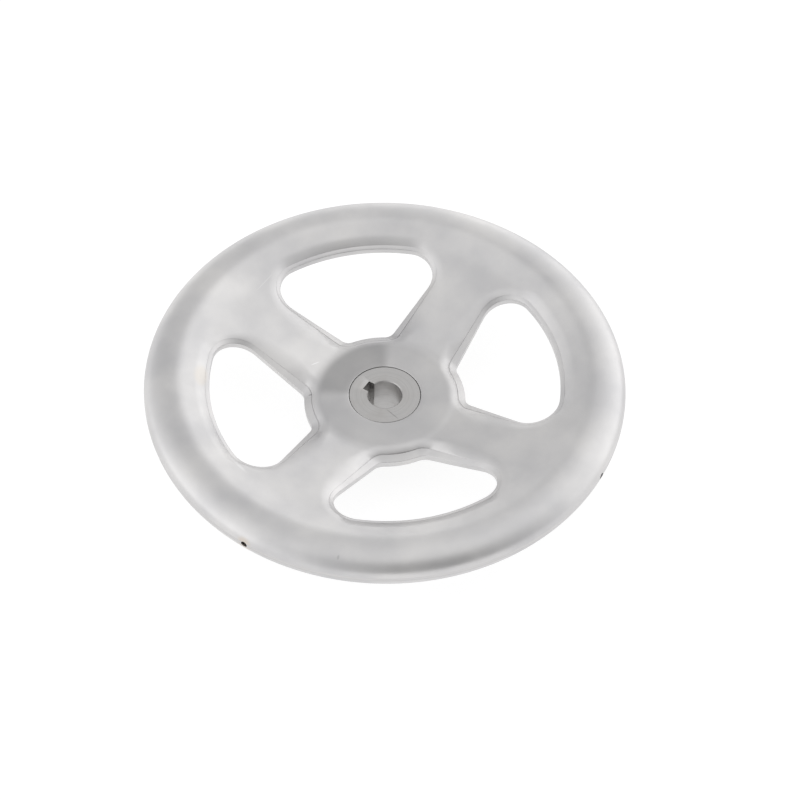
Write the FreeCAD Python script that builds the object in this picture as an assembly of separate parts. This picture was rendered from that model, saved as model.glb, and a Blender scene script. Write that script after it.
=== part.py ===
import FreeCAD
import Part
import math
import os

# A dished four-spoke handwheel of pressed stainless sheet, hollow in its rim and spokes.
# Millimetres. The origin is the centre of the hub's lower face, +Z is the bore axis
# and the keyway points to +Y. The spokes lie on the X and Y axes.

# Rim
wheel_diameter = 250.0
rim_height = 20.0
rim_rise = 10.5

# Sheet, and the lip that the lower pressing curls up round each window
sheet = 1.5
seam_gap = 0.25
lip_height_at_hub = 6.2
lip_height_at_rim = 4.0
lip_width_at_hub = 3.75
lip_width_at_rim = 2.0
lip_bevel = 1.2
shoulder_bevel = 1.5

# Windows between the spokes, at their widest outline
window_rim_radius = 91.2
window_hub_radius = 42.3
window_rim_corner = 13.5
window_hub_corner = 6.3
spoke_half_width = 23.2
spoke_taper = 4.4
spoke_count = 4

# Pressed profile, with heights from the rim's middle plane
web_at_hub = -19.5
web_at_rim = -1.9
hub_disc_radius = 34.5
brow_radius = 97.0
brow_height = 5.7
web_disc_radius = 39.5
lip_turn_radius = 93.2
ridge_radius = 94.0
disc_blend = 14.0
crown_round = 38.0
web_blend = 4.0
ridge_blend = 3.0

# Hidden bends are straight stretches, each turning through this many degrees at most
stretch_turn = 23.0

# Hub
hub_diameter = 37.5
hub_length = 28.0
collar_diameter = 44.0
bore_diameter = 18.0
keyway_width = 6.0
keyway_depth = 2.8
edge_break = 0.4
foot_chamfer = 1.0
hub_weld_leg = 3.5

# Rim weld and vents
weld_face = 2.4
weld_root = 0.5
vent_diameter = 3.5
vent_angles = (0.0, 90.0, 179.1, 273.6)

# Tolerances
same_place = 1e-6
on_outline = 0.01
upright = 0.9

wheel_radius = wheel_diameter / 2
tube_radius = rim_height / 2
tube_centre = wheel_radius - tube_radius
rim_level = hub_length + rim_rise
window_depth = window_rim_radius - window_hub_radius
web_slope = (web_at_rim - web_at_hub) / window_depth
lip_slope = web_slope + (lip_height_at_rim - lip_height_at_hub) / window_depth
web_bottom = rim_level + web_at_hub - (window_hub_radius - web_disc_radius) * web_slope
web_top = rim_level + web_at_hub + lip_height_at_hub - (window_hub_radius - web_disc_radius) * lip_slope
floor_level = web_bottom + sheet
taper = math.radians(spoke_taper)
above_all = 4 * hub_length


def vector(x, y, z):
    return FreeCAD.Vector(x, y, z)


# Slope of the tangent from a profile point to a circle above or on the rim tube's centre,
# over the circle where its radius is positive and under it where it is negative
def tangent_slope(radius, height, centre_height, circle_radius):
    span = tube_centre - radius
    rise = height - centre_height
    return math.tan(math.asin(circle_radius / math.hypot(span, rise)) - math.atan2(rise, span))


# Corners of a half section as (radius, height, turning radius), from the axis outwards
def top_line():
    brow = rim_level + brow_height
    crown = rim_level + tube_radius
    slope = tangent_slope(brow_radius, brow, crown - crown_round, crown_round)
    return [
        (0, hub_length, 0),
        (hub_disc_radius, hub_length, disc_blend),
        (brow_radius, brow, 0),
        (brow_radius + (crown - brow) / slope, crown, crown_round),
        (wheel_radius, crown, tube_radius),
        (wheel_radius, rim_level, 0),
    ]


def bottom_line():
    ridge = web_bottom + (ridge_radius - web_disc_radius) * web_slope
    slope = tangent_slope(ridge_radius, ridge, rim_level, -tube_radius)
    keel = ridge + (wheel_radius - ridge_radius) * slope
    return [
        (0, web_bottom, 0),
        (web_disc_radius, web_bottom, web_blend),
        (ridge_radius, ridge, ridge_blend),
        (wheel_radius, keel, tube_radius),
        (wheel_radius, rim_level, 0),
    ]


def lip_line(drop):
    level = web_top - drop
    turn = level + (lip_turn_radius - web_disc_radius) * lip_slope
    end = ridge_radius + lip_width_at_rim
    return [
        (0, level, 0),
        (web_disc_radius, level, web_blend),
        (lip_turn_radius, turn, 0),
        (end, turn, 0),
        (end, rim_level, 0),
        (wheel_radius - drop, rim_level, 0),
    ]


def ceiling_line(radius):
    return [(0, above_all, 0), (radius, above_all, 0), (radius, rim_level, 0)]


def ground_line(radius):
    return [(0, 0, 0), (radius, 0, 0), (radius, rim_level, 0)]


# The same line moved sideways, to the left of its direction where the distance is positive
def moved(points, distance):
    sides = []
    for (r1, z1, _), (r2, z2, _) in zip(points, points[1:]):
        length = math.hypot(r2 - r1, z2 - z1)
        ar, az = (r2 - r1) / length, (z2 - z1) / length
        sides.append((r1 - az * distance, z1 + ar * distance, ar, az, length))
    r, z, _, _, _ = sides[0]
    result = [(r, z, 0)]
    for (_, _, radius), (r1, z1, ar, az, _), (r2, z2, br, bz, _) in zip(points[1:], sides, sides[1:]):
        turn = ar * bz - az * br
        step = ((r2 - r1) * bz - (z2 - z1) * br) / turn
        if radius:
            radius -= math.copysign(distance, turn * distance)
        result.append((r1 + ar * step, z1 + az * step, radius))
    r, z, ar, az, length = sides[-1]
    result.append((r + ar * length, z + az * length, 0))
    return result


def straight(start, end):
    if start.distanceToPoint(end) < same_place:
        return []
    return [Part.LineSegment(start, end).toShape()]


# Edges through the corners, each corner turned with its radius
def rounded(points):
    places = [vector(r, 0, z) for r, z, _ in points]
    edges = []
    last = places[0]
    for before, corner, after, (_, _, radius) in zip(places, places[1:], places[2:], points[1:]):
        into = (corner - before).normalize()
        out = (after - corner).normalize()
        half_turn = into.getAngle(out) / 2
        start = corner - into * radius * math.tan(half_turn)
        end = corner + out * radius * math.tan(half_turn)
        edges += straight(last, start)
        if radius:
            middle = corner + (out - into).normalize() * radius * (1 / math.cos(half_turn) - 1)
            edges.append(Part.Arc(start, middle, end).toShape())
        last = end
    return edges + straight(last, places[-1])


# The same line for a hidden side, with its turned corners in straight stretches
def stretched(points):
    result = [points[0]]
    for edge in rounded(points):
        turn = edge.tangentAt(edge.FirstParameter).getAngle(edge.tangentAt(edge.LastParameter))
        stretches = max(1, math.ceil(math.degrees(turn) / stretch_turn))
        result += [(place.x, place.z, 0) for place in edge.discretize(stretches + 1)[1:]]
    return result


# Solid of revolution between an upper and a lower half section
def turned(upper, lower):
    edges = rounded(upper) + rounded(lower)
    for (r1, z1, _), (r2, z2, _) in ((upper[0], lower[0]), (upper[-1], lower[-1])):
        edges += straight(vector(r1, 0, z1), vector(r2, 0, z2))
    wire = Part.Wire(Part.__sortEdges__(edges))
    return Part.Face(wire).revolve(vector(0, 0, 0), vector(0, 0, 1), 360)


# Outline of the window between the +X and +Y spokes, grown by one distance at the hub
# and by another at the rim
def window_outline(hub_grow, rim_grow):
    along = vector(math.cos(taper), -math.sin(taper), 0)
    normal = vector(math.sin(taper), math.cos(taper), 0)
    offset = spoke_half_width * math.cos(taper)

    def corner(distance, radius):
        height = offset + radius
        return normal * height + along * math.sqrt(distance ** 2 - height ** 2)

    def mirrored(point):
        return vector(point.y, point.x, 0)

    rim = corner(window_rim_radius - window_rim_corner, window_rim_corner)
    hub = corner(window_hub_radius + window_hub_corner, window_hub_corner)
    rim_turn = window_rim_corner + rim_grow
    hub_turn = window_hub_corner + hub_grow
    side = (rim - hub).normalize()
    lean = (rim_turn - hub_turn) / rim.distanceToPoint(hub)
    inward = side * lean + vector(-side.y, side.x, 0) * math.sqrt(1 - lean ** 2)
    rim_out = vector(rim.x, rim.y, 0).normalize()
    hub_in = vector(-hub.x, -hub.y, 0).normalize()
    hub_arc = hub + hub_in * hub_turn
    hub_middle = hub + (hub_in - inward).normalize() * hub_turn
    hub_line = hub - inward * hub_turn
    rim_line = rim - inward * rim_turn
    rim_middle = rim + (rim_out - inward).normalize() * rim_turn
    rim_arc = rim + rim_out * rim_turn
    diagonal = vector(1, 1, 0).normalize()
    edges = [
        Part.Arc(hub_arc, hub_middle, hub_line),
        Part.LineSegment(hub_line, rim_line),
        Part.Arc(rim_line, rim_middle, rim_arc),
        Part.Arc(rim_arc, diagonal * (window_rim_radius + rim_grow), mirrored(rim_arc)),
        Part.Arc(mirrored(rim_arc), mirrored(rim_middle), mirrored(rim_line)),
        Part.LineSegment(mirrored(rim_line), mirrored(hub_line)),
        Part.Arc(mirrored(hub_line), mirrored(hub_middle), mirrored(hub_arc)),
        Part.Arc(mirrored(hub_arc), diagonal * (window_hub_radius - hub_grow), hub_arc),
    ]
    return Part.Wire([edge.toShape() for edge in edges])


def windows(hub_grow, rim_grow):
    outlines = []
    for spoke in range(spoke_count):
        outline = window_outline(hub_grow, rim_grow)
        outline.rotate(vector(0, 0, 0), vector(0, 0, 1), spoke * 360 / spoke_count)
        outlines.append(outline)
    return outlines


# Edges of a pressed form that run along the windows, above or below the middle of the lip
def window_edges(solid, outlines, above):
    found = []
    for edge in solid.Edges:
        middle = (edge.FirstParameter + edge.LastParameter) / 2
        place = edge.valueAt(middle)
        flat = Part.Vertex(place.x, place.y, 0)
        if abs(edge.tangentAt(middle).z) > upright:
            continue
        if min(outline.distToShape(flat)[0] for outline in outlines) > on_outline:
            continue
        run = max(0, math.hypot(place.x, place.y) - web_disc_radius)
        lip_middle = (web_bottom + web_top + run * (web_slope + lip_slope)) / 2
        if (place.z > lip_middle) == above:
            found.append(edge)
    return found


# Pressed form between two profiles, with the windows cut and their edges bevelled
def pressed(upper, lower, grow, top_bevel=0, bottom_bevel=0):
    solid = turned(upper, lower)
    outlines = windows(*grow)
    for outline in outlines:
        solid = solid.cut(Part.Face(outline).extrude(vector(0, 0, above_all)))
    for bevel, above in ((top_bevel, True), (bottom_bevel, False)):
        if bevel:
            solid = solid.makeChamfer(bevel, window_edges(solid, outlines, above))
    return solid


def cylinder(radius, bottom, top):
    return Part.makeCylinder(radius, top - bottom, vector(0, 0, bottom))


# Weld metal along the rim's outer seam, ground flush with the tube
def rim_weld_ring():
    outer = math.asin(weld_face / 2 / tube_radius)
    inner_radius = tube_radius - sheet
    inner = math.asin(weld_root / 2 / inner_radius)

    def place(radius, angle):
        return vector(tube_centre + radius * math.cos(angle), 0, rim_level + radius * math.sin(angle))

    edges = [
        Part.Arc(place(tube_radius, -outer), place(tube_radius, 0), place(tube_radius, outer)),
        Part.LineSegment(place(tube_radius, outer), place(inner_radius, inner)),
        Part.Arc(place(inner_radius, inner), place(inner_radius, 0), place(inner_radius, -inner)),
        Part.LineSegment(place(inner_radius, -inner), place(tube_radius, -outer)),
    ]
    wire = Part.Wire([edge.toShape() for edge in edges])
    return Part.Face(wire).revolve(vector(0, 0, 0), vector(0, 0, 1), 360)


# Vents drilled through the rim's outer wall, near the spokes' axes
def with_vents(solid):
    for turn in vent_angles:
        angle = math.radians(turn)
        out = vector(math.cos(angle), math.sin(angle), 0)
        start = out * tube_centre + vector(0, 0, rim_level)
        solid = solid.cut(Part.makeCylinder(vent_diameter / 2, rim_height, start, out))
    return solid


# How far a window grows at the hub and at the rim, as far as the lip's edge and a distance beyond
def beyond_lip(distance):
    return lip_width_at_hub + distance, lip_width_at_rim + distance


# Upper pressing, whose window flanges stand inside the lower pressing's lips
def upper_shell(weld):
    floor = stretched(moved(bottom_line(), sheet))
    outside = pressed(top_line(), floor, beyond_lip(seam_gap), top_bevel=shoulder_bevel)
    ceiling = stretched(moved(top_line(), -sheet))
    inside = pressed(ceiling, ground_line(ceiling[-1][0]), beyond_lip(seam_gap + sheet))
    shell = outside.cut(inside).cut(weld)
    shell = shell.cut(cylinder(hub_diameter / 2 + seam_gap, 0, above_all))
    return with_vents(shell)


# Lower pressing, with a lip curled over all round each window
def lower_shell(weld):
    floor = stretched(moved(bottom_line(), sheet))
    outside = pressed(lip_line(0), bottom_line(), (0, 0), top_bevel=lip_bevel, bottom_bevel=lip_bevel)
    curl = pressed(stretched(lip_line(sheet)), floor, (sheet, sheet))
    mouth = pressed(ceiling_line(floor[-1][0]), floor, beyond_lip(0))
    shell = outside.cut(curl).cut(mouth).cut(weld)
    shell = shell.cut(cylinder(hub_diameter / 2, 0, above_all))
    return with_vents(shell)


# Turned bush with a collar between the two pressings
def hub_bush():
    radius = hub_diameter / 2
    collar = collar_diameter / 2
    bore = bore_diameter / 2
    ceiling = hub_length - sheet
    points = [
        (bore + edge_break, 0),
        (radius - foot_chamfer, 0),
        (radius, foot_chamfer),
        (radius, floor_level),
        (collar, floor_level),
        (collar, ceiling),
        (radius, ceiling),
        (radius, hub_length - edge_break),
        (radius - edge_break, hub_length),
        (bore + edge_break, hub_length),
        (bore, hub_length - edge_break),
        (bore, edge_break),
    ]
    wire = Part.makePolygon([vector(r, 0, z) for r, z in points + points[:1]])
    bush = Part.Face(wire).revolve(vector(0, 0, 0), vector(0, 0, 1), 360)
    height = bore + keyway_depth
    keyway = Part.makeBox(keyway_width, height, above_all, vector(-keyway_width / 2, 0, 0))
    return bush.cut(keyway)


# Flat-faced fillet weld between the lower pressing and the bush
def hub_weld():
    inner = hub_diameter / 2
    corner = vector(inner, 0, web_bottom)
    foot = vector(inner, 0, web_bottom - hub_weld_leg)
    toe = vector(inner + hub_weld_leg, 0, web_bottom)
    wire = Part.makePolygon([corner, toe, foot, corner])
    return Part.Face(wire).revolve(vector(0, 0, 0), vector(0, 0, 1), 360)


def main():
    os.makedirs("parts", exist_ok=True)
    weld = rim_weld_ring()
    nodes = {
        "upper_shell": upper_shell(weld),
        "lower_shell": lower_shell(weld),
        "hub_bush": hub_bush(),
        "rim_weld": with_vents(weld),
        "hub_weld": hub_weld(),
    }
    for name, shape in nodes.items():
        shape.exportStep(f"parts/{name}.step")
        print(name, shape.isValid(), len(shape.Solids), len(shape.Faces), round(shape.Volume))


main()
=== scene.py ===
import bpy
import bmesh
import math
from mathutils import Matrix, Vector


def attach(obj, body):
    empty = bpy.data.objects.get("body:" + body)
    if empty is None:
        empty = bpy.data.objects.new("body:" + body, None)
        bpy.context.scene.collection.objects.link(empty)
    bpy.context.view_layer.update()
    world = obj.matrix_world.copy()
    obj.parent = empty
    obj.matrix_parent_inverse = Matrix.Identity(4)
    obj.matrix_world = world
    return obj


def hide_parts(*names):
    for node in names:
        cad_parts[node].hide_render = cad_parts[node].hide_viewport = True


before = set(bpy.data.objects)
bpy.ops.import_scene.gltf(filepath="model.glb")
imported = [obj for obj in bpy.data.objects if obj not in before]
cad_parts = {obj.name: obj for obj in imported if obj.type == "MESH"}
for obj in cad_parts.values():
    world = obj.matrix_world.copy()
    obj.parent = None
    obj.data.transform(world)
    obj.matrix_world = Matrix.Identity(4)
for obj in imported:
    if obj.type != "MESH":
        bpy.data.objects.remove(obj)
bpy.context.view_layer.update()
print("stage: frame loaded")

# the wheel's shared sizes, in millimetres like the drawing; mm() turns them into metres
wheel = {
    "radius": 125.0,
    "tubeRadius": 10.0,
    "tubeCentre": 115.0,
    "rimLevel": 38.5,
    "hubTop": 28.0,
    "sheet": 1.5,
    "seamGap": 0.06,
    "rimSeamGap": 0.02,
    "spokes": 4,
    "weldFace": 2.4,
    "ringPoints": 248,
    "lastTurn": 0.5,
    "mergeWithin": 0.002,
    "smoothAngle": 50.0,
}

# a window between two spokes, at its widest outline, and the lip round it
window = {
    "rimRadius": 91.2,
    "hubRadius": 42.3,
    "rimCorner": 13.5,
    "hubCorner": 6.3,
    "spokeHalf": 23.2,
    "taper": math.radians(4.4),
    "lipWidthAtHub": 3.75,
    "lipWidthAtRim": 2.0,
    "seamAtHub": -12.4,
    "seamAtRim": 3.4,
    "webAtHub": -19.5,
    "webAtRim": -1.9,
    "seamBend": 4.0,
    "points": {"hubArc": 24, "hubCorner": 12, "side": 22, "rimCorner": 18, "rimArc": 44},
}


def mm(value):
    return value * 0.001


def deselectAll():
    if bpy.context.object and bpy.context.object.mode != "OBJECT":
        bpy.ops.object.mode_set(mode="OBJECT")
    bpy.ops.object.select_all(action="DESELECT")


def pick(*pieces):
    deselectAll()
    for piece in pieces:
        piece.select_set(True)
    bpy.context.view_layer.objects.active = pieces[0]


def applyModifiers(piece):
    pick(piece)
    for modifier in list(piece.modifiers):
        bpy.ops.object.modifier_apply(modifier=modifier.name)


# edges of the open mesh in edit mode are selected where the test says yes to both their ends
def selectEdges(piece, test, boundary=True):
    bpy.ops.mesh.select_mode(type="EDGE")
    bpy.ops.mesh.select_all(action="DESELECT")
    shape = bmesh.from_edit_mesh(piece.data)
    for edge in shape.edges:
        if boundary and not edge.is_boundary:
            continue
        if all(test(vert.co * 1000) for vert in edge.verts):
            edge.select_set(True)
    shape.select_flush_mode()
    bmesh.update_edit_mesh(piece.data)


# a section line: corners as (radius, height, bend radius), read as a height at any radius
def bentLine(corners):
    stretches = []
    last = Vector(corners[0][:2])
    for before, corner, after in zip(corners, corners[1:], corners[2:]):
        place = Vector(corner[:2])
        into = (place - Vector(before[:2])).normalized()
        out = (Vector(after[:2]) - place).normalized()
        turn = into.x * out.y - into.y * out.x
        half = math.acos(max(-1, min(1, into.dot(out)))) / 2
        if corner[2] == 0 or half < 1e-6:
            stretches.append((last, place, None, 0))
            last = place
            continue
        reach = corner[2] * math.tan(half)
        start = place - into * reach
        end = place + out * reach
        side = 1 if turn > 0 else -1
        centre = start + Vector((-into.y, into.x)) * corner[2] * side
        stretches.append((last, start, None, 0))
        stretches.append((start, end, centre, corner[2] * side))
        last = end
    stretches.append((last, Vector(corners[-1][:2]), None, 0))
    return stretches


def heightAt(line, radius):
    for start, end, centre, bend in line:
        if radius <= end.x or line[-1][1] is end:
            if centre is None:
                run = (radius - start.x) / (end.x - start.x)
                return start.y + (end.y - start.y) * run
            return centre.y - math.copysign(math.sqrt(bend ** 2 - (radius - centre.x) ** 2), bend)


# tangent from a point of the section to the rim tube: its height at the wheel's radius, and its angle
def tubeTangent(radius, height, side):
    span = wheel["tubeCentre"] - radius
    rise = height - wheel["rimLevel"]
    reach = math.hypot(span, rise)
    angle = math.asin(wheel["tubeRadius"] / reach) * side - math.atan2(rise, span)
    return height + (wheel["radius"] - radius) * math.tan(angle), math.degrees(angle)


# the upper skin: a flat disc, a cone up the spokes, and a round crown over the rim; flank is how full the
# crown's outer side is, where 2 would be an ellipse
dish = {
    "discRadius": 38.0,
    "discBend": 14.0,
    "kinkRadius": 94.0,
    "kinkLevel": 43.34,
    "kinkBend": 14.0,
    "crown": 48.5,
    "crest": 109.7,
    "crownReach": 2.7,
    "crownBend": 14.1,
    "crownRows": (105.2, 106.7, 108.2),
    "flank": 2.3,
    "rowOverLast": (0.005, 0.09),
}
crownCorner = dish["crest"] - dish["crownReach"]
topLine = bentLine([
    (0, wheel["hubTop"], 0),
    (dish["discRadius"], wheel["hubTop"], dish["discBend"]),
    (dish["kinkRadius"], dish["kinkLevel"], dish["kinkBend"]),
    (crownCorner, dish["crown"], dish["crownBend"]),
    (wheel["radius"], dish["crown"], 0),
])

# the lower skin: flat by the hub, a cone up the spokes, a ridge, and down round the rim tube
web = {
    "kinkRadius": 39.5,
    "bend": 4.0,
    "ridgeRadius": 94.0,
    "ridgeBend": 3.0,
}
windowDepth = window["rimRadius"] - window["hubRadius"]
webSlope = (window["webAtRim"] - window["webAtHub"]) / windowDepth
webBottom = wheel["rimLevel"] + window["webAtHub"] - (window["hubRadius"] - web["kinkRadius"]) * webSlope
ridgeLevel = webBottom + (web["ridgeRadius"] - web["kinkRadius"]) * webSlope
keelLevel, keelAngle = tubeTangent(web["ridgeRadius"], ridgeLevel, -1)
webLine = bentLine([
    (0, webBottom, 0),
    (web["kinkRadius"], webBottom, web["bend"]),
    (web["ridgeRadius"], ridgeLevel, web["ridgeBend"]),
    (wheel["radius"], keelLevel, 0),
])
# the seam between the two skins round the windows
hubSeam = wheel["rimLevel"] + window["seamAtHub"]
rimSeam = wheel["rimLevel"] + window["seamAtRim"]
seamLine = bentLine([
    (0, hubSeam, 0),
    (window["hubRadius"], hubSeam, window["seamBend"]),
    (window["rimRadius"], rimSeam, window["seamBend"]),
    (wheel["radius"], rimSeam, 0),
])


def along(start, end, steps):
    return [start + (end - start) * step / steps for step in range(steps)]


def arcPoints(centre, radius, start, end, steps):
    turn = (end - start + math.pi) % (2 * math.pi) - math.pi
    row = []
    for step in range(steps):
        angle = start + turn * step / steps
        row.append(centre + Vector((math.cos(angle), math.sin(angle))) * radius)
    return row


# the window between the +X and +Y spokes as a closed row of points, grown by one distance at the hub and
# by another at the rim
def windowRow(hubGrow, rimGrow):
    taper = window["taper"]
    ahead = Vector((math.cos(taper), -math.sin(taper)))
    normal = Vector((math.sin(taper), math.cos(taper)))
    offset = window["spokeHalf"] * math.cos(taper)

    def corner(distance, radius):
        height = offset + radius
        return normal * height + ahead * math.sqrt(distance ** 2 - height ** 2)

    rim = corner(window["rimRadius"] - window["rimCorner"], window["rimCorner"])
    hub = corner(window["hubRadius"] + window["hubCorner"], window["hubCorner"])
    rimTurn = window["rimCorner"] + rimGrow
    hubTurn = window["hubCorner"] + hubGrow
    side = (rim - hub).normalized()
    lean = (rimTurn - hubTurn) / (rim - hub).length
    inward = side * lean + Vector((-side.y, side.x)) * math.sqrt(1 - lean ** 2)
    rimOut = math.atan2(rim.y, rim.x)
    hubOut = math.atan2(hub.y, hub.x)
    down = math.atan2(-inward.y, -inward.x)
    counts = window["points"]
    middle = math.pi / 4
    row = arcPoints(Vector((0, 0)), window["hubRadius"] - hubGrow, middle, hubOut, counts["hubArc"] // 2)
    row += arcPoints(hub, hubTurn, hubOut + math.pi, down, counts["hubCorner"])
    row += along(hub - inward * hubTurn, rim - inward * rimTurn, counts["side"])
    row += arcPoints(rim, rimTurn, down, rimOut, counts["rimCorner"])
    row += arcPoints(Vector((0, 0)), window["rimRadius"] + rimGrow, rimOut, middle, counts["rimArc"] // 2)
    mirrored = [Vector((point.y, point.x)) for point in row[1:]]
    end = Vector((math.cos(middle), math.sin(middle))) * (window["rimRadius"] + rimGrow)
    return row + [end] + mirrored[::-1]


# the cell that belongs to one window, with as many points: a hub arc, two spoke axes and a rim arc
def cellRow(hubCircle, rimCircle):
    counts = window["points"]
    hubSteps = counts["hubArc"] // 2 + counts["hubCorner"] // 2
    rimSteps = counts["rimArc"] // 2 + counts["rimCorner"] // 2
    sideSteps = counts["hubCorner"] // 2 + counts["side"] + counts["rimCorner"] // 2
    middle = math.pi / 4
    row = arcPoints(Vector((0, 0)), hubCircle, middle, 0, hubSteps)
    row += along(Vector((hubCircle, 0)), Vector((rimCircle, 0)), sideSteps)
    row += arcPoints(Vector((0, 0)), rimCircle, 0, middle, rimSteps)
    end = Vector((math.cos(middle), math.sin(middle))) * rimCircle
    return row + [end] + [Vector((point.y, point.x)) for point in row[1:]][::-1]


# a loop of edges is extruded and its new points are set down on the next row
def nextRow(piece, row, first=False):
    if not first:
        bpy.ops.mesh.extrude_edges_move(TRANSFORM_OT_translate={"value": (0, 0, 0)})
    shape = bmesh.from_edit_mesh(piece.data)
    layer = shape.verts.layers.int.get("place") or shape.verts.layers.int.new("place")
    fresh = [vert for vert in shape.verts if vert.select]
    if first:
        fresh.sort(key=lambda vert: math.atan2(vert.co.y, vert.co.x) % (2 * math.pi))
        for index, vert in enumerate(fresh):
            vert[layer] = index
    for vert in fresh:
        vert.co = row[vert[layer]] * 0.001
    bmesh.update_edit_mesh(piece.data)


# rows pulled outwards or inwards round the whole wheel, each by (radius, height)
def ringRows(piece, circle, rows):
    selectEdges(piece, lambda place: abs(math.hypot(place.x, place.y) - circle) < 0.01)
    last = circle
    for radius, height in rows:
        bpy.ops.mesh.extrude_edges_move(TRANSFORM_OT_translate={"value": (0, 0, 0)})
        size = radius / last
        bpy.ops.transform.resize(value=(size, size, 1), center_override=(0, 0, 0))
        shape = bmesh.from_edit_mesh(piece.data)
        for vert in shape.verts:
            if vert.select:
                vert.co.z = mm(height)
        bmesh.update_edit_mesh(piece.data)
        last = radius


# one window's skin from its rows, then four of them joined into a blank
def blank(name, rows):
    deselectAll()
    bpy.ops.mesh.primitive_circle_add(vertices=len(rows[0]), radius=mm(60), fill_type="NOTHING")
    piece = bpy.context.object
    piece.name = piece.data.name = name
    bpy.ops.object.mode_set(mode="EDIT")
    bpy.ops.mesh.select_all(action="SELECT")
    for index, row in enumerate(rows):
        nextRow(piece, row, index == 0)
    bpy.ops.mesh.select_all(action="SELECT")
    turn = -math.tau / wheel["spokes"]
    for quarter in range(1, wheel["spokes"]):
        bpy.ops.mesh.duplicate()
        bpy.ops.transform.rotate(value=turn, orient_axis="Z", center_override=(0, 0, 0))
    bpy.ops.mesh.select_all(action="SELECT")
    bpy.ops.mesh.remove_doubles(threshold=mm(wheel["mergeWithin"]))
    return piece


def finishSheet(piece, upwards):
    bpy.ops.mesh.select_all(action="SELECT")
    bpy.ops.mesh.normals_make_consistent(inside=False)
    shape = bmesh.from_edit_mesh(piece.data)
    shape.faces.ensure_lookup_table()
    nearest = min(shape.faces, key=lambda face: face.calc_center_median().xy.length)
    if (nearest.normal.z > 0) != upwards:
        bpy.ops.mesh.flip_normals()
    bpy.ops.object.mode_set(mode="OBJECT")
    wall = piece.modifiers.new("wall", "SOLIDIFY")
    wall.thickness = mm(wheel["sheet"])
    wall.offset = -1
    wall.use_even_offset = True
    wall.use_quality_normals = True
    applyModifiers(piece)


# round the rim tube, with one row close before the last
def tubeArc(first, last, steps):
    turns = [first + (last - first) * step / steps for step in range(steps + 1)]
    turns.insert(-1, last + math.copysign(wheel["lastTurn"], first - last))
    centre, radius, level = wheel["tubeCentre"], wheel["tubeRadius"], wheel["rimLevel"]
    rows = []
    for turn in turns:
        angle = math.radians(turn)
        rows.append((centre + radius * math.cos(angle), level + radius * math.sin(angle)))
    return rows


# from the crest outwards and down to the weld, with one row close before the last
def flankArc(steps):
    width = wheel["radius"] - dish["crest"]
    height = dish["crown"] - wheel["rimLevel"]
    root = wheel["weldFace"] / 2 / height
    last = math.acos(root ** (dish["flank"] / 2))
    rows = []
    for step in range(1, steps + 1):
        turn = last * step / steps
        out = math.sin(turn) ** (2 / dish["flank"])
        level = math.cos(turn) ** (2 / dish["flank"])
        rows.append((dish["crest"] + width * out, wheel["rimLevel"] + height * level))
    radius, level = rows[-1]
    outwards, upwards = dish["rowOverLast"]
    rows.insert(-1, (radius + outwards, level + upwards))
    return rows


weldTurn = math.degrees(math.asin(wheel["weldFace"] / 2 / wheel["tubeRadius"]))

# the upper pressing; bends and leans are the rolled edge's bend and slope at stops of radius
upper = {
    "brow": 8.0,
    "bends": ((38, 8.0), (44, 8.0), (58, 24.0), (80, 28.0), (90, 14.0), (94, 8.0)),
    "leans": ((39, 40.0), (48, 25.0), (80, 25.0), (92, 16.0)),
    "leastLean": 0.22,
    "flangeRows": (0.0, 0.5),
    "bendSteps": 7,
    "cornerTurn": 0.25,
    "cornerAtRim": 0.4,
    "hubCircle": 30.0,
    "rimCircle": 104.0,
    "spread": (0.08, 0.2, 0.36, 0.56, 0.78, 1.0),
    "hole": 18.95,
    "holeRows": ((0.5, 0.0), (0.15, 0.05), (0.0, 0.2)),
    "hubRows": (26.0, 22.0),
    "flankSteps": 22,
    "slitTurn": 225.0,
    "slitLength": 13.0,
    "slitWidth": 0.42,
    "slitFade": 4.0,
}


# how far along the window's length a place lies: 0 at the hub, 1 at the rim
def outward(radius):
    return max(0, min(1, (radius - window["hubRadius"]) / windowDepth))


# a value between (radius, value) stops
def between(stops, radius):
    for (start, low), (end, high) in zip(stops, stops[1:]):
        if radius <= end:
            share = max(0, (radius - start) / (end - start))
            return low + (high - low) * share * share * (3 - 2 * share)
    return stops[-1][1]


# the skin's fall to the lip, seen in section, as (run from the seam, fall below the skin): a leaning
# stretch, then a bend
def browSection(radius):
    fall = heightAt(topLine, radius) - heightAt(seamLine, radius)
    lean = math.radians(between(upper["leans"], radius))
    bend = min(between(upper["bends"], radius), (fall - upper["leastLean"]) / (1 - math.cos(lean)))
    leaning = (fall - bend * (1 - math.cos(lean))) / math.tan(lean)
    whole = leaning + bend * math.sin(lean)
    turn = upper["cornerTurn"] * (1 - (1 - upper["cornerAtRim"]) * outward(radius))
    section = [
        (0, fall + turn),
        (turn / 3, fall + turn / 4),
        (turn, fall - turn * math.tan(lean)),
        (leaning, bend * (1 - math.cos(lean))),
    ]
    for step in range(1, upper["bendSteps"] + 1):
        turn = lean * (1 - step / upper["bendSteps"])
        section.append((whole - bend * math.sin(turn), bend * (1 - math.cos(turn))))
    return section


# at the front window the two pressings don't quite meet, and the edge over the hub's arc stands back a little
def openSlit(piece):
    turn = math.radians(upper["slitTurn"])
    out = Vector((math.cos(turn), math.sin(turn)))
    edge = window["hubRadius"] - window["lipWidthAtHub"]
    fade = upper["slitFade"]
    shape = bmesh.from_edit_mesh(piece.data)
    for vert in shape.verts:
        place = vert.co.xy * 1000
        share = 1 - ((place - out * edge).length / upper["slitLength"]) ** 2
        behind = (place.dot(out) - edge + fade) / fade
        if share > 0 and behind > 0 and place.length < window["hubRadius"] + fade:
            vert.co.xy -= out * mm(upper["slitWidth"]) * share * min(1, behind)
    bmesh.update_edit_mesh(piece.data)


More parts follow.
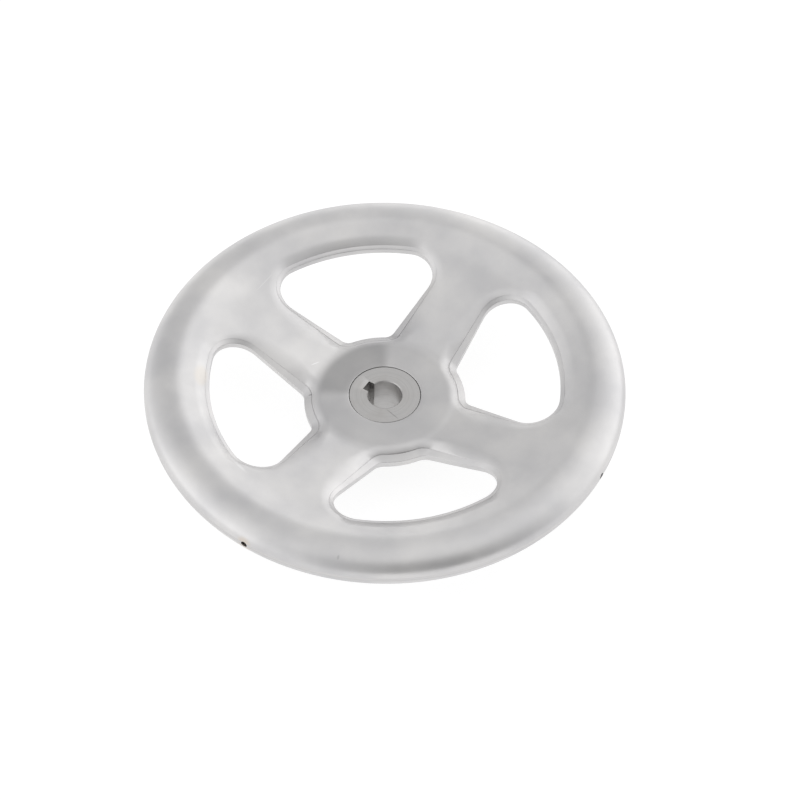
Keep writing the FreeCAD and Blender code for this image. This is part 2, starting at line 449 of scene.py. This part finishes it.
def upperShell():
    rows = []
    hubEdge = window["lipWidthAtHub"] + wheel["seamGap"]
    rimEdge = window["lipWidthAtRim"] + wheel["rimSeamGap"]
    wallRow = windowRow(hubEdge, rimEdge)
    browRow = windowRow(hubEdge + upper["brow"], rimEdge + upper["brow"])
    sections = [browSection(point.length) for point in wallRow]
    for share in upper["flangeRows"]:
        row = []
        for point, section in zip(wallRow, sections):
            low = heightAt(webLine, point.length) + wheel["sheet"]
            high = heightAt(topLine, point.length) - section[0][1]
            row.append(Vector((point.x, point.y, low + (high - low) * share)))
        rows.append(row)
    for step in range(len(sections[0])):
        row = []
        for point, far, section in zip(wallRow, browRow, sections):
            run, fall = section[step]
            place = point.lerp(far, run / upper["brow"])
            row.append(Vector((place.x, place.y, heightAt(topLine, place.length) - fall)))
        rows.append(row)
    innerRow = [Vector((point.x, point.y)) for point in rows[-1]]
    outerRow = cellRow(upper["hubCircle"], upper["rimCircle"])
    for share in upper["spread"]:
        row = []
        for inner, outer in zip(innerRow, outerRow):
            point = inner.lerp(outer, share)
            row.append(Vector((point.x, point.y, heightAt(topLine, point.length))))
        rows.append(row)
    piece = blank("upperShell", rows)
    openSlit(piece)
    crown = [(radius, heightAt(topLine, radius)) for radius in dish["crownRows"] + (dish["crest"],)]
    ringRows(piece, upper["rimCircle"], crown + flankArc(upper["flankSteps"]))
    disc = [(radius, wheel["hubTop"]) for radius in upper["hubRows"]]
    disc += [(upper["hole"] + wider, wheel["hubTop"] - lower) for wider, lower in upper["holeRows"]]
    ringRows(piece, upper["hubCircle"], disc)
    finishSheet(piece, True)
    return piece


# the lower pressing, with a lip that narrows from the hub to the rim
lower = {
    "noseAtHub": 0.4,
    "noseAtRim": 0.35,
    "keelAtHub": 3.1,
    "keelAtRim": 2.0,
    "lean": 25.0,
    "noseSteps": 7,
    "keelSteps": 7,
    "hubCircle": 30.0,
    "rimCircle": 104.0,
    "spread": (0.06, 0.14, 0.24, 0.36, 0.5, 0.66, 0.83, 1.0),
    "hubRows": (26.0, 22.0, 18.9, 18.75),
    "tubeSteps": 14,
}


# the lip in section, as (in from the outline, drop below its edge): a leaning face, a small nose, and
# round under to the web
def lipSection(width, height, nose, keel):
    lean = math.radians(lower["lean"])
    middle = (width - nose) * math.tan(lean) + nose / math.cos(lean)
    section = [(width, 0)]
    for step in range(lower["noseSteps"] + 1):
        turn = (math.pi / 2 - lean) * (1 - step / lower["noseSteps"])
        section.append((nose * (1 - math.cos(turn)), middle - nose * math.sin(turn)))
    start = section[1]
    section.insert(1, ((width + start[0]) / 2, start[1] / 2))
    for step in range(lower["keelSteps"] + 1):
        turn = math.pi / 2 * step / lower["keelSteps"]
        section.append((keel * (1 - math.cos(turn)), height - keel + keel * math.sin(turn)))
    return section


def lowerShell():
    rows = []
    hubHeight = window["seamAtHub"] - window["webAtHub"]
    rimHeight = window["seamAtRim"] - window["webAtRim"]
    hubSection = lipSection(window["lipWidthAtHub"], hubHeight, lower["noseAtHub"], lower["keelAtHub"])
    rimSection = lipSection(window["lipWidthAtRim"], rimHeight, lower["noseAtRim"], lower["keelAtRim"])
    for (hubIn, hubDrop), (rimIn, rimDrop) in zip(hubSection, rimSection):
        row = []
        for point in windowRow(hubIn, rimIn):
            top = heightAt(seamLine, point.length)
            whole = top - heightAt(webLine, point.length)
            share = outward(point.length)
            drop = hubDrop / hubHeight * (1 - share) + rimDrop / rimHeight * share
            row.append(Vector((point.x, point.y, top - whole * drop)))
        rows.append(row)
    innerRow = windowRow(lower["keelAtHub"], lower["keelAtRim"])
    outerRow = cellRow(lower["hubCircle"], lower["rimCircle"])
    for share in lower["spread"]:
        row = []
        for inner, outer in zip(innerRow, outerRow):
            point = inner.lerp(outer, share)
            row.append(Vector((point.x, point.y, heightAt(webLine, point.length))))
        rows.append(row)
    piece = blank("lowerShell", rows)
    ringRows(piece, lower["rimCircle"], tubeArc(-90 + keelAngle, -weldTurn, lower["tubeSteps"]))
    ringRows(piece, lower["hubCircle"], [(radius, webBottom) for radius in lower["hubRows"]])
    finishSheet(piece, False)
    return piece


# a closed ring turned from corner points (radius, height): one loop of edges pulled through them
def turnedRing(name, corners, points):
    deselectAll()
    last, level = corners[0]
    bpy.ops.mesh.primitive_circle_add(
        vertices=points, radius=mm(last), fill_type="NOTHING", location=(0, 0, mm(level)))
    bpy.ops.object.transform_apply(location=True, rotation=False, scale=False)
    piece = bpy.context.object
    piece.name = piece.data.name = name
    bpy.ops.object.mode_set(mode="EDIT")
    bpy.ops.mesh.select_all(action="SELECT")
    for radius, height in corners[1:] + corners[:1]:
        bpy.ops.mesh.extrude_edges_move(TRANSFORM_OT_translate={"value": (0, 0, mm(height - level))})
        size = radius / last
        bpy.ops.transform.resize(value=(size, size, 1), center_override=(0, 0, 0))
        last, level = radius, height
    bpy.ops.mesh.select_all(action="SELECT")
    bpy.ops.mesh.remove_doubles(threshold=mm(wheel["mergeWithin"]))
    bpy.ops.mesh.normals_make_consistent(inside=False)
    bpy.ops.object.mode_set(mode="OBJECT")
    return piece


def cutAway(piece, tool):
    cut = piece.modifiers.new("cut", "BOOLEAN")
    cut.operation = "DIFFERENCE"
    cut.solver = "EXACT"
    cut.object = tool
    applyModifiers(piece)


def smoothPiece(piece, angle):
    pick(piece)
    bpy.ops.object.shade_smooth_by_angle(angle=math.radians(angle))


# the turned bush: its face stands a hair below the sheet, and the keyway points to +Y
bush = {
    "radius": 18.75,
    "collar": 22.0,
    "bore": 9.0,
    "face": 27.78,
    "edge": 0.4,
    "rimEdge": 0.25,
    "footChamfer": 1.0,
    "keyWidth": 6.0,
    "keyTop": 11.8,
    "keyLength": 40.0,
    "keyEdge": 0.12,
    "edgeSteps": 2,
    "edgeAngle": 60.0,
    "points": 144,
    "smoothAngle": 35.0,
}


def hubBush():
    radius, collar, bore = bush["radius"], bush["collar"], bush["bore"]
    face, edge, rimEdge = bush["face"], bush["edge"], bush["rimEdge"]
    floor = webBottom + wheel["sheet"]
    ceiling = wheel["hubTop"] - wheel["sheet"]
    piece = turnedRing("hubBush", [
        (bore + edge, 0),
        (radius - bush["footChamfer"], 0),
        (radius, bush["footChamfer"]),
        (radius, floor),
        (collar, floor),
        (collar, ceiling),
        (radius, ceiling),
        (radius, face - rimEdge),
        (radius - rimEdge, face),
        (bore + edge, face),
        (bore, face - edge),
        (bore, edge),
    ], bush["points"])
    deselectAll()
    bpy.ops.mesh.primitive_cube_add(
        size=mm(1),
        location=(0, mm(bush["keyTop"] / 2), mm(wheel["hubTop"] / 2)),
        scale=(bush["keyWidth"], bush["keyTop"], bush["keyLength"]))
    key = bpy.context.object
    cutAway(piece, key)
    bpy.data.objects.remove(key)
    ease = piece.modifiers.new("ease", "BEVEL")
    ease.width = mm(bush["keyEdge"])
    ease.segments = bush["edgeSteps"]
    ease.limit_method = "ANGLE"
    ease.angle_limit = math.radians(bush["edgeAngle"])
    applyModifiers(piece)
    smoothPiece(piece, bush["smoothAngle"])
    return piece


# the weld bead under the hub: a bulged face with the ripples of the weld pool, so many to the turn
bead = {
    "leg": 3.5,
    "bulge": 0.35,
    "ripple": 0.16,
    "ripples": 60,
    "rippleMiddle": 0.6,
    "lag": 0.55,
    "unrest": 0.12,
    "unrestRate": 0.7,
    "still": 0.05,
    "moving": (0.02, 0.98),
    "steps": 7,
    "points": 480,
    "smoothAngle": 60.0,
}


def hubWeld():
    inner = bush["radius"]
    leg = bead["leg"]
    corners = [(inner, webBottom)]
    for step in range(bead["steps"] + 1):
        share = step / bead["steps"]
        swell = math.sin(math.pi * share) * bead["bulge"] * math.sqrt(0.5)
        corners.append((inner + leg * (1 - share) + swell, webBottom - leg * share - swell))
    piece = turnedRing("hubWeld", corners, bead["points"])
    low, high = bead["moving"]
    for vert in piece.data.vertices:
        place = vert.co * 1000
        radius = place.xy.length
        share = (webBottom - place.z) / leg
        if radius - inner > bead["still"] and low < share < high:
            turn = math.atan2(place.y, place.x) * bead["ripples"] / math.tau
            unrest = bead["unrest"] * math.sin(turn * bead["unrestRate"])
            lag = turn + bead["lag"] * math.sin(math.pi * share) + unrest
            wave = abs(math.sin(math.pi * lag)) - bead["rippleMiddle"]
            push = wave * bead["ripple"] * math.sin(math.pi * share)
            vert.co.xy *= (radius + push) / radius
            vert.co.z -= mm(push)
    smoothPiece(piece, bead["smoothAngle"])
    return piece


# the ground seam round the rim, flush with the tube, and thin towards its root; its rows are shares of
# the weld's half angle
seam = {
    "faceRows": (-1, -0.93, -0.5, 0, 0.5, 0.93, 1),
    "rootRows": (1, 0, -1),
}


def rimWeld():
    centre, radius, level = wheel["tubeCentre"], wheel["tubeRadius"], wheel["rimLevel"]
    inside = radius - wheel["sheet"]
    corners = []
    for size, turns in ((radius, seam["faceRows"]), (inside, seam["rootRows"])):
        for turn in turns:
            angle = math.radians(weldTurn * turn)
            corners.append((centre + size * math.cos(angle), level + size * math.sin(angle)))
    return turnedRing("rimWeld", corners, wheel["ringPoints"])


# small vents through the rim's outer wall, drilled near the spokes' ends
vents = {
    "diameter": 3.5,
    "angles": (0.0, 90.0, 179.1, 273.6),
    "drillRadius": 124.0,
    "drillLength": 10.0,
    "drillPoints": 40,
}


def drillVents(*pieces):
    drills = []
    for turn in vents["angles"]:
        deselectAll()
        out = Vector((math.cos(math.radians(turn)), math.sin(math.radians(turn)), 0))
        bpy.ops.mesh.primitive_cylinder_add(
            vertices=vents["drillPoints"],
            radius=mm(vents["diameter"] / 2),
            depth=mm(vents["drillLength"]),
            location=out * mm(vents["drillRadius"]) + Vector((0, 0, mm(wheel["rimLevel"]))),
            rotation=(0, math.radians(90), math.radians(turn)))
        drills.append(bpy.context.object)
    pick(*drills)
    bpy.ops.object.join()
    drill = bpy.context.object
    for piece in pieces:
        cutAway(piece, drill)
    bpy.data.objects.remove(drill)


upperPiece = upperShell()
lowerPiece = lowerShell()
print("stage: shells pressed", len(upperPiece.data.polygons), len(lowerPiece.data.polygons))
seamPiece = rimWeld()
drillVents(upperPiece, lowerPiece, seamPiece)
for piece in (upperPiece, lowerPiece, seamPiece):
    smoothPiece(piece, wheel["smoothAngle"])
print("stage: rim welded and vents drilled")
bushPiece = hubBush()
beadPiece = hubWeld()
print("stage: hub turned and welded", len(bushPiece.data.polygons), len(beadPiece.data.polygons))

for piece, node, slot in (
    (upperPiece, "upper_shell", "blasted_sheet"),
    (lowerPiece, "lower_shell", "blasted_sheet"),
    (bushPiece, "hub_bush", "turned_bush"),
    (seamPiece, "rim_weld", "ground_weld"),
    (beadPiece, "hub_weld", "fillet_weld"),
):
    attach(piece, "root")
    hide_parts(node)


# the nodes that the four metals share; their plain colour and roughness stay on the shader's own sockets
def link(material, fromSocket, toSocket):
    material.node_tree.links.new(fromSocket, toSocket)


def metal(name, colour, roughness):
    material = bpy.data.materials.new(name)
    material.use_nodes = True
    shader = material.node_tree.nodes["Principled BSDF"]
    shader.inputs["Base Color"].default_value = (*colour, 1)
    shader.inputs["Metallic"].default_value = 1
    shader.inputs["Roughness"].default_value = roughness
    place = material.node_tree.nodes.new("ShaderNodeTexCoord")
    return material, shader, place.outputs["Object"]


def noise(material, place, scale, detail, dimensions="3D"):
    node = material.node_tree.nodes.new("ShaderNodeTexNoise")
    node.noise_dimensions = dimensions
    node.inputs["Scale"].default_value = scale
    node.inputs["Detail"].default_value = detail
    link(material, place, node.inputs["W" if dimensions == "1D" else "Vector"])
    return node.outputs["Fac"]


def ranged(material, value, low, high, bottom, top, smooth=False):
    node = material.node_tree.nodes.new("ShaderNodeMapRange")
    if smooth:
        node.interpolation_type = "SMOOTHSTEP"
    for name, number in (("From Min", low), ("From Max", high), ("To Min", bottom), ("To Max", top)):
        node.inputs[name].default_value = number
    link(material, value, node.inputs["Value"])
    return node.outputs["Result"]


def maths(material, operation, first, second=None, third=None):
    node = material.node_tree.nodes.new("ShaderNodeMath")
    node.operation = operation
    for socket, value in zip(node.inputs, (first, second, third)):
        if isinstance(value, (int, float)):
            socket.default_value = value
        elif value is not None:
            link(material, value, socket)
    return node.outputs["Value"]


def tinted(material, share, base, colour, blend="MIX"):
    node = material.node_tree.nodes.new("ShaderNodeMix")
    node.data_type = "RGBA"
    node.blend_type = blend
    for socket, value in ((node.inputs[0], share), (node.inputs[6], base), (node.inputs[7], colour)):
        if isinstance(value, tuple):
            socket.default_value = (*value, 1)
        elif isinstance(value, (int, float)):
            socket.default_value = value
        else:
            link(material, value, socket)
    return node.outputs[2]


def bumped(material, shader, height, strength, distance, under=None):
    node = material.node_tree.nodes.new("ShaderNodeBump")
    node.inputs["Strength"].default_value = strength
    node.inputs["Distance"].default_value = distance
    link(material, height, node.inputs["Height"])
    if under:
        link(material, under, node.inputs["Normal"])
    link(material, node.outputs["Normal"], shader.inputs["Normal"])
    return node.outputs["Normal"]


# a place's distance from the wheel's axis, and its X, Y and Z
def axisDistance(material, place):
    split = material.node_tree.nodes.new("ShaderNodeSeparateXYZ")
    link(material, place, split.inputs[0])
    x, y = split.outputs["X"], split.outputs["Y"]
    square = maths(material, "MULTIPLY_ADD", y, y, maths(material, "MULTIPLY", x, x))
    return maths(material, "SQRT", square), split.outputs


# fine lines that run round the wheel's axis
def roundLines(material, place, scale, detail):
    radius, parts = axisDistance(material, place)
    return noise(material, maths(material, "ADD", radius, parts["Z"]), scale, detail, "1D")


# a soft-edged mark on the surface: 1 in its middle and 0 outside, from its place, half sizes and turn
def mark(material, place, spot, halves, turn, edge=0.5):
    node = material.node_tree.nodes.new("ShaderNodeMapping")
    node.vector_type = "TEXTURE"
    node.inputs["Location"].default_value = [mm(value) for value in spot]
    node.inputs["Rotation"].default_value = (0, 0, math.radians(turn))
    node.inputs["Scale"].default_value = [mm(value) for value in halves]
    link(material, place, node.inputs["Vector"])
    length = material.node_tree.nodes.new("ShaderNodeVectorMath")
    length.operation = "LENGTH"
    link(material, node.outputs["Vector"], length.inputs[0])
    return ranged(material, length.outputs["Value"], edge, 1.0, 1.0, 0.0, True)


# blasted stainless sheet: cloudy matt grey with a fine tooth, with painted shade that darkens the dish over
# the hub;
# lengths here are in metres and scales to the metre, like Blender's own
sheetLook = {
    "pale": (0.685, 0.675, 0.67),
    "dull": (0.57, 0.565, 0.572),
    "evenRoughness": 0.4,
    "roughness": (0.36, 0.45),
    "cloudScale": 30.0,
    "cloudSpread": (0.33, 0.67),
    "patchScale": 75.0,
    "patchSpread": (0.3, 0.7),
    "waveScale": 24.0,
    "waveDepth": 0.0006,
    "toothScale": 2100.0,
    "toothDepth": 0.00006,
    "bump": 0.35,
    "upperSide": (0.022, 0.026),
    "dishEdge": (0.0325, 0.0372),
    # painted shade: how dark the dish over the hub is painted, then the darker quarter's level, turn and
    # edges
    "dishShadeTone": 0.9,
    "shadeTone": 0.75,
    "shadeTurn": 76.0,
    "shadeEdge": (0.62, 0.80),
    "straw": (0.60, 0.53, 0.42),
    "strawReach": (0.0225, 0.0275),
    "underSide": (0.019, 0.021),
}

# small pale and dark marks on the sheet, a heat tint by a vent, and one painted highlight along a window's
# shoulder: place and half sizes in millimetres, turn, colour and how strongly
marksAndPaintedHighlight = [
    ((-3.3, 41.7, 28.5), (3.4, 0.35, 3), -24, (0.95, 0.95, 0.95), 0.5),
    ((20.0, 89.5, 42.0), (9.0, 0.3, 3), -2.5, (0.90, 0.90, 0.90), 0.22),
    ((-111.1, -44.4, 48.0), (1.7, 0.9, 3), 20, (0.33, 0.33, 0.33), 0.4),
    # painted highlight: a pale streak along the rounded shoulder by the rim corner of the window at 135
    # degrees
    ((-89.0, 30.8, 42.0), (9.5, 1.3, 4), 73, (0.90, 0.90, 0.90), 0.25),
    ((-52.5, 80.3, 42.0), (9.0, 5.0, 6), 30, (0.66, 0.60, 0.52), 0.35),
    ((-20.2, 33.1, 25.0), (1.6, 0.7, 2), 120, (0.22, 0.22, 0.22), 0.6),
    ((-34.6, 17.1, 25.0), (1.4, 0.7, 2), 150, (0.22, 0.22, 0.22), 0.55),
    ((-124.0, 2.0, 38.5), (3, 5.5, 5.5), 0, (0.62, 0.53, 0.43), 0.5),
]


# painted shade by place on the sheet: the dish over the hub is painted darker, and one quarter of it darker
# still
def dishShade(material, radius, parts):
    inside = ranged(material, radius, *sheetLook["dishEdge"], 1.0, 0.0, True)
    above = ranged(material, parts["Z"], *sheetLook["upperSide"], 0.0, 1.0)
    inDish = maths(material, "MULTIPLY", inside, above)
    paintedShade = maths(material, "MULTIPLY_ADD", inDish, sheetLook["dishShadeTone"] - 1, 1.0)
    turn = math.radians(sheetLook["shadeTurn"])
    across = maths(material, "MULTIPLY", parts["X"], math.cos(turn))
    ahead = maths(material, "MULTIPLY_ADD", parts["Y"], math.sin(turn), across)
    facing = maths(material, "DIVIDE", ahead, radius)
    quarter = ranged(material, facing, *sheetLook["shadeEdge"], 0.0, 1.0, True)
    shaded = maths(material, "MULTIPLY", quarter, inDish)
    shade = maths(material, "MULTIPLY_ADD", shaded, sheetLook["shadeTone"] - 1, 1.0)
    paintedShade = maths(material, "MULTIPLY", paintedShade, shade)
    grey = material.node_tree.nodes.new("ShaderNodeCombineColor")
    for socket in grey.inputs:
        link(material, paintedShade, socket)
    return grey.outputs["Color"]


def blastedSteel():
    material, shader, place = metal("blastedSteel", sheetLook["pale"], sheetLook["evenRoughness"])
    clouds = noise(material, place, sheetLook["cloudScale"], 5)
    cloud = ranged(material, clouds, *sheetLook["cloudSpread"], 0.0, 1.0)
    colour = tinted(material, cloud, sheetLook["dull"], sheetLook["pale"])
    radius, parts = axisDistance(material, place)
    # painted shade: the dish over the hub is multiplied darker
    colour = tinted(material, 1.0, colour, dishShade(material, radius, parts), "MULTIPLY")
    # straw colour from the weld's heat, under the hub
    near = ranged(material, radius, *sheetLook["strawReach"], 1.0, 0.0, True)
    below = ranged(material, parts["Z"], *sheetLook["underSide"], 1.0, 0.0)
    colour = tinted(material, maths(material, "MULTIPLY", near, below), colour, sheetLook["straw"])
    # the marks and the painted highlight are mixed into the sheet's colour
    for spot, halves, angle, paint, strength in marksAndPaintedHighlight:
        amount = maths(material, "MULTIPLY", mark(material, place, spot, halves, angle), strength)
        colour = tinted(material, amount, colour, paint)
    link(material, colour, shader.inputs["Base Color"])
    patches = noise(material, place, sheetLook["patchScale"], 3)
    rough = ranged(material, patches, *sheetLook["patchSpread"], *sheetLook["roughness"])
    link(material, rough, shader.inputs["Roughness"])
    waves = noise(material, place, sheetLook["waveScale"], 2)
    tooth = noise(material, place, sheetLook["toothScale"], 2)
    under = bumped(material, shader, waves, sheetLook["bump"], sheetLook["waveDepth"])
    bumped(material, shader, tooth, sheetLook["bump"], sheetLook["toothDepth"], under)
    return material


# the bush's turned face and bore: fine rings round the axis, a few smears, and a nick on the face
bushLook = {
    "pale": (0.55, 0.54, 0.535),
    "dull": (0.495, 0.49, 0.485),
    "smear": (0.40, 0.38, 0.36),
    "evenRoughness": 0.36,
    "roughness": (0.32, 0.42),
    "spread": (0.3, 0.7),
    "ringScale": 1300.0,
    "ringDepth": 0.00002,
    "ringBump": 0.4,
    "smearScale": 110.0,
    "smearSpread": (0.45, 0.8),
    "smearStrength": 0.45,
    "nickPlace": (-8.9, -10.4, 27.8),
    "nickHalves": (0.35, 5.6, 1.2),
    "nickTurn": -13.0,
    "nickColour": (0.16, 0.15, 0.15),
    "nickStrength": 0.45,
}


def turnedSteel():
    material, shader, place = metal("turnedSteel", bushLook["pale"], bushLook["evenRoughness"])
    rings = roundLines(material, place, bushLook["ringScale"], 4)
    stripes = ranged(material, rings, *bushLook["spread"], 0.0, 1.0)
    colour = tinted(material, stripes, bushLook["dull"], bushLook["pale"])
    smears = noise(material, place, bushLook["smearScale"], 4)
    smeared = ranged(material, smears, *bushLook["smearSpread"], 0.0, bushLook["smearStrength"])
    colour = tinted(material, smeared, colour, bushLook["smear"])
    nick = mark(material, place, bushLook["nickPlace"], bushLook["nickHalves"], bushLook["nickTurn"])
    nicked = maths(material, "MULTIPLY", nick, bushLook["nickStrength"])
    colour = tinted(material, nicked, colour, bushLook["nickColour"])
    link(material, colour, shader.inputs["Base Color"])
    rough = ranged(material, smears, *bushLook["spread"], *bushLook["roughness"])
    link(material, rough, shader.inputs["Roughness"])
    bumped(material, shader, rings, bushLook["ringBump"], bushLook["ringDepth"])
    return material


# the rim's seam, ground flush: fine lines that run round the wheel
seamLook = {
    "pale": (0.63, 0.62, 0.62),
    "dull": (0.54, 0.53, 0.53),
    "evenRoughness": 0.35,
    "roughness": (0.30, 0.42),
    "spread": (0.3, 0.7),
    "lineScale": 1500.0,
    "lineDepth": 0.00003,
    "lineBump": 0.35,
    "patchScale": 140.0,
}


def groundSeam():
    material, shader, place = metal("groundSeam", seamLook["pale"], seamLook["evenRoughness"])
    lines = roundLines(material, place, seamLook["lineScale"], 3)
    stripes = ranged(material, lines, *seamLook["spread"], 0.0, 1.0)
    link(material, tinted(material, stripes, seamLook["dull"], seamLook["pale"]), shader.inputs["Base Color"])
    patches = noise(material, place, seamLook["patchScale"], 3)
    rough = ranged(material, patches, *seamLook["spread"], *seamLook["roughness"])
    link(material, rough, shader.inputs["Roughness"])
    bumped(material, shader, lines, seamLook["lineBump"], seamLook["lineDepth"])
    return material


# the fillet weld: straw and brown heat colours in patches, with a little blue
weldLook = {
    "pale": (0.60, 0.55, 0.47),
    "brown": (0.42, 0.34, 0.27),
    "blue": (0.40, 0.42, 0.47),
    "evenRoughness": 0.33,
    "roughness": (0.26, 0.42),
    "patchScale": 130.0,
    "patchSpread": (0.42, 0.62),
    "streakScale": 320.0,
    "streakSpread": (0.6, 0.72),
    "blueStrength": 0.6,
    "spread": (0.3, 0.7),
    "depth": 0.00012,
    "bump": 0.3,
}


def weldBead():
    material, shader, place = metal("weldBead", weldLook["pale"], weldLook["evenRoughness"])
    patches = noise(material, place, weldLook["patchScale"], 4)
    browned = ranged(material, patches, *weldLook["patchSpread"], 0.0, 1.0)
    colour = tinted(material, browned, weldLook["pale"], weldLook["brown"])
    streaks = noise(material, place, weldLook["streakScale"], 3)
    blued = ranged(material, streaks, *weldLook["streakSpread"], 0.0, weldLook["blueStrength"])
    link(material, tinted(material, blued, colour, weldLook["blue"]), shader.inputs["Base Color"])
    rough = ranged(material, streaks, *weldLook["spread"], *weldLook["roughness"])
    link(material, rough, shader.inputs["Roughness"])
    bumped(material, shader, streaks, weldLook["bump"], weldLook["depth"])
    return material


steel = blastedSteel()
for piece, material in (
    (upperPiece, steel),
    (lowerPiece, steel),
    (bushPiece, turnedSteel()),
    (seamPiece, groundSeam()),
    (beadPiece, weldBead()),
):
    piece.data.materials.clear()
    piece.data.materials.append(material)
print("stage: metals mixed")

# the camera stands where the photograph was taken from
shot = {
    "lens": 102.96,
    "sensor": 36.0,
    "azimuth": -58.4,
    "elevation": 51.07,
    "roll": 1.241,
    "distance": 1182.4,
    "target": (-6.20, -13.19, 38.5),
    "clipStart": 0.01,
}


def photoCamera():
    azimuth = math.radians(shot["azimuth"])
    elevation = math.radians(shot["elevation"])
    roll = math.radians(shot["roll"])
    flat = math.cos(elevation)
    back = Vector((math.sin(azimuth) * flat, -math.cos(azimuth) * flat, math.sin(elevation)))
    level = Vector((math.cos(azimuth), math.sin(azimuth), 0))
    upright = back.cross(level)
    right = level * math.cos(roll) + upright * math.sin(roll)
    up = upright * math.cos(roll) - level * math.sin(roll)
    place = Vector(shot["target"]) + back * shot["distance"]
    data = bpy.data.cameras.new("photoCamera")
    data.lens = shot["lens"]
    data.sensor_width = shot["sensor"]
    data.clip_start = shot["clipStart"]
    camera = bpy.data.objects.new("photoCamera", data)
    bpy.context.scene.collection.objects.link(camera)
    camera.matrix_world = Matrix((
        (right.x, up.x, back.x, mm(place.x)),
        (right.y, up.y, back.y, mm(place.y)),
        (right.z, up.z, back.z, mm(place.z)),
        (0, 0, 0, 1),
    ))
    bpy.context.scene.camera = camera


photoCamera()
print("stage: camera set")


# the floor glows a little, so it stays white round the wheel and still takes its shadow
ground = {"size": 6.0, "level": -0.6, "grey": 0.25, "roughness": 0.9, "glow": 0.84}


def paleFloor():
    deselectAll()
    bpy.ops.mesh.primitive_plane_add(size=ground["size"], location=(0, 0, mm(ground["level"])))
    floor = bpy.context.object
    floor.name = "paleFloor"
    material = bpy.data.materials.new("paleFloor")
    material.use_nodes = True
    nodes = material.node_tree.nodes
    links = material.node_tree.links
    shader = nodes["Principled BSDF"]
    shader.inputs["Base Color"].default_value = (ground["grey"], ground["grey"], ground["grey"], 1)
    shader.inputs["Roughness"].default_value = ground["roughness"]
    shader.inputs["Specular IOR Level"].default_value = 0
    shader.inputs["Emission Color"].default_value = (1, 1, 1, 1)
    shader.inputs["Emission Strength"].default_value = ground["glow"]
    # from below the floor isn't there, so the underside of the wheel can be looked at
    side = nodes.new("ShaderNodeNewGeometry")
    clear = nodes.new("ShaderNodeBsdfTransparent")
    mix = nodes.new("ShaderNodeMixShader")
    links.new(side.outputs["Backfacing"], mix.inputs["Fac"])
    links.new(shader.outputs["BSDF"], mix.inputs[1])
    links.new(clear.outputs["BSDF"], mix.inputs[2])
    links.new(mix.outputs["Shader"], nodes["Material Output"].inputs["Surface"])
    floor.data.materials.append(material)


paleFloor()

# the studio round the wheel: how bright its walls are, by the turn in degrees from the side away from the
# camera, to the right; low is their level at the floor, and middle, high and top are the levels above it,
# where rises says from and to which sine of the height angle each takes over from the one below
studio = {
    "turns": (-180, -150, -120, -90, -60, -30, 0, 30, 60, 90, 120, 150),
    "low": (0.5, 1.0, 1.58, 1.55, 1.16, 1.1, 1.4, 1.66, 1.66, 1.42, 0.66, 0.35),
    "middle": (0.45, 0.92, 1.42, 1.36, 0.88, 0.65, 0.9, 1.38, 1.52, 1.32, 0.64, 0.3),
    "high": (0.45, 0.78, 1.16, 1.2, 1.02, 0.67, 0.68, 1.2, 1.28, 1.04, 0.64, 0.38),
    "top": 0.95,
    "rises": {"middle": (0.03, 0.42), "high": (0.42, 0.77), "top": (0.82, 1.0)},
}


def softStudio():
    world = bpy.data.worlds.new("softStudio")
    bpy.context.scene.world = world
    world.use_nodes = True
    nodes = world.node_tree.nodes
    links = world.node_tree.links
    background = nodes["Background"]
    place = nodes.new("ShaderNodeTexCoord")
    turned = nodes.new("ShaderNodeMapping")
    turned.inputs["Rotation"].default_value = (0, 0, -math.radians(90 + shot["azimuth"]))
    links.new(place.outputs["Generated"], turned.inputs["Vector"])
    sweep = nodes.new("ShaderNodeTexGradient")
    sweep.gradient_type = "RADIAL"
    links.new(turned.outputs["Vector"], sweep.inputs["Vector"])
    walls = {}
    for level in ("low", "middle", "high"):
        ramp = nodes.new("ShaderNodeValToRGB")
        stops = sorted((0.5 - turn / 360, glow) for turn, glow in zip(studio["turns"], studio[level]))
        stops = [(0.0, stops[-1][1])] + stops
        elements = ramp.color_ramp.elements
        elements[0].position, elements[1].position = 0.0, 1.0
        for element, glow in ((elements[0], stops[0][1]), (elements[1], stops[-1][1])):
            element.color = (glow, glow, glow, 1)
        for spot, glow in stops[1:-1]:
            element = elements.new(spot)
            element.color = (glow, glow, glow, 1)
        links.new(sweep.outputs["Fac"], ramp.inputs["Fac"])
        walls[level] = ramp
    split = nodes.new("ShaderNodeSeparateXYZ")
    links.new(place.outputs["Generated"], split.inputs[0])
    last = walls["low"].outputs["Color"]
    for level, (start, end) in studio["rises"].items():
        share = nodes.new("ShaderNodeMapRange")
        share.interpolation_type = "SMOOTHSTEP"
        share.inputs["From Min"].default_value = start
        share.inputs["From Max"].default_value = end
        links.new(split.outputs["Z"], share.inputs["Value"])
        mix = nodes.new("ShaderNodeMix")
        mix.data_type = "RGBA"
        links.new(share.outputs["Result"], mix.inputs[0])
        links.new(last, mix.inputs[6])
        if level in walls:
            links.new(walls[level].outputs["Color"], mix.inputs[7])
        else:
            mix.inputs[7].default_value = (studio[level], studio[level], studio[level], 1)
        last = mix.outputs[2]
    # the camera sees plain white behind the wheel
    seen = nodes.new("ShaderNodeLightPath")
    white = nodes.new("ShaderNodeMix")
    white.data_type = "RGBA"
    white.inputs[7].default_value = (1, 1, 1, 1)
    links.new(seen.outputs["Is Camera Ray"], white.inputs[0])
    links.new(last, white.inputs[6])
    links.new(white.outputs[2], background.inputs["Color"])


softStudio()
bpy.context.scene.view_settings.view_transform = "Standard"

deselectAll()
